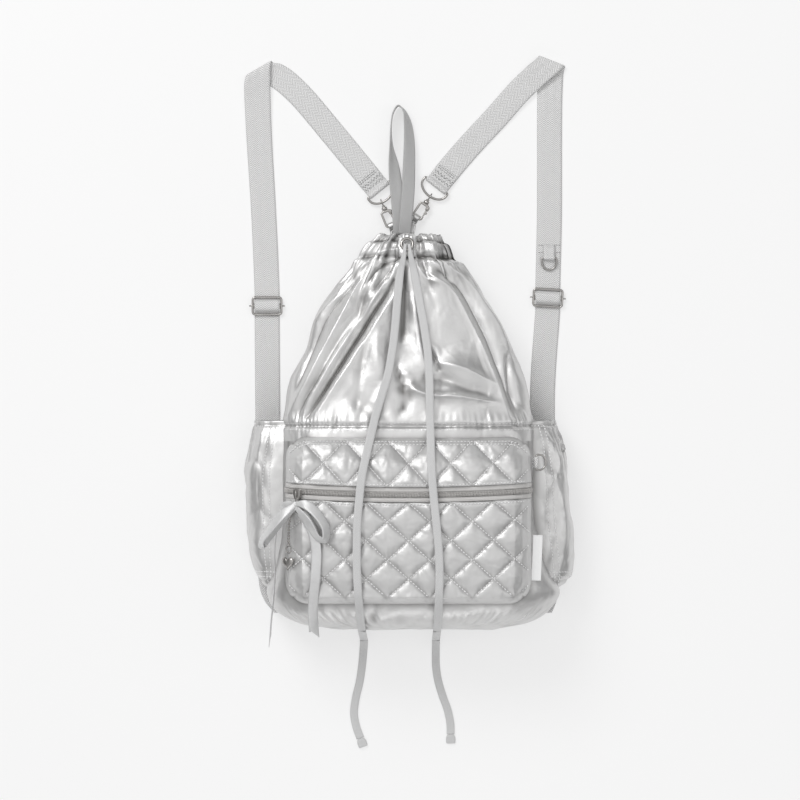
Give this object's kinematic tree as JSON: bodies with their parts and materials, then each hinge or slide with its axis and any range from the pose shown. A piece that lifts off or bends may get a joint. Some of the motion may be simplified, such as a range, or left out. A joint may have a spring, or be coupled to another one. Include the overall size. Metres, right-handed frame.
{
  "type": "drawstring backpack",
  "caption": "Silver padded drawstring backpack with a quilted zip pocket, side pockets, webbing straps on snap hooks, a ribbon bow and a puffed charm, lying on its back",
  "frame": {"origin": "middle of the flat back panel, on the surface that the bag lies on", "axes": "+Z out of the bag's front, +Y from the bag's foot to its neck, +X to the right as seen from the front"},
  "size_m": [0.3286, 0.6924, 0.1285],
  "materials": {
    "silver_nylon": "metallic silver nylon, soft sheen",
    "webbing": "woven herringbone webbing, matt",
    "cord": "flat braided cord, matt",
    "ribbon": "satin ribbon",
    "zip": "woven zip tape with moulded teeth",
    "label": "woven label, bare",
    "hardware": "polished pewter plating"
  },
  "bodies": {
    "bag": {"lower_bag": "silver_nylon", "drawstring_collar": "silver_nylon", "neck_placket": "silver_nylon", "eyelet": "hardware", "pocket_upper_panel": "silver_nylon", "pocket_lower_panel": "silver_nylon", "zip_tape_upper": "zip", "zip_tape_lower": "zip", "zip_coil": "zip", "side_pocket_left": "silver_nylon", "side_pocket_right": "silver_nylon", "strap_left": "webbing", "strap_ring_left": "hardware", "adjuster_left": "hardware", "strap_right": "webbing", "strap_ring_right": "hardware", "adjuster_right": "hardware", "snap_hook_left": "hardware", "hook_loop_left": "silver_nylon", "snap_hook_right": "hardware", "hook_loop_right": "silver_nylon", "strap_small_ring_tab": "webbing", "strap_small_ring": "hardware", "side_ring_tab": "webbing", "side_ring": "hardware", "side_label": "label", "grab_loop": "webbing", "drawcord_left": "cord", "cord_end_left": "cord", "drawcord_right": "cord", "cord_end_right": "cord", "zip_slider": "hardware", "bow": "ribbon", "bow_tail_left": "ribbon", "bow_tail_right": "ribbon", "charm_chain": "hardware", "charm_ring": "hardware", "charm_heart": "hardware"},
    "hook_gate_left": {"snap_gate_left": "hardware"},
    "hook_gate_right": {"snap_gate_right": "hardware"}
  },
  "joints": [
    {"name": "gate_left", "type": "hinge", "parent": "bag", "child": "hook_gate_left", "pos_m": [-0.01716, 0.30781, 0.0041], "axis": [0, 0, -1], "range_deg": [0, 25], "stiffness_Nm_per_rad": 0.002, "springref_deg": -11.46},
    {"name": "gate_right", "type": "hinge", "parent": "bag", "child": "hook_gate_right", "pos_m": [0.01948, 0.31052, 0.0041], "axis": [0, 0, -1], "range_deg": [0, 25], "stiffness_Nm_per_rad": 0.002, "springref_deg": -11.46}
  ]
}
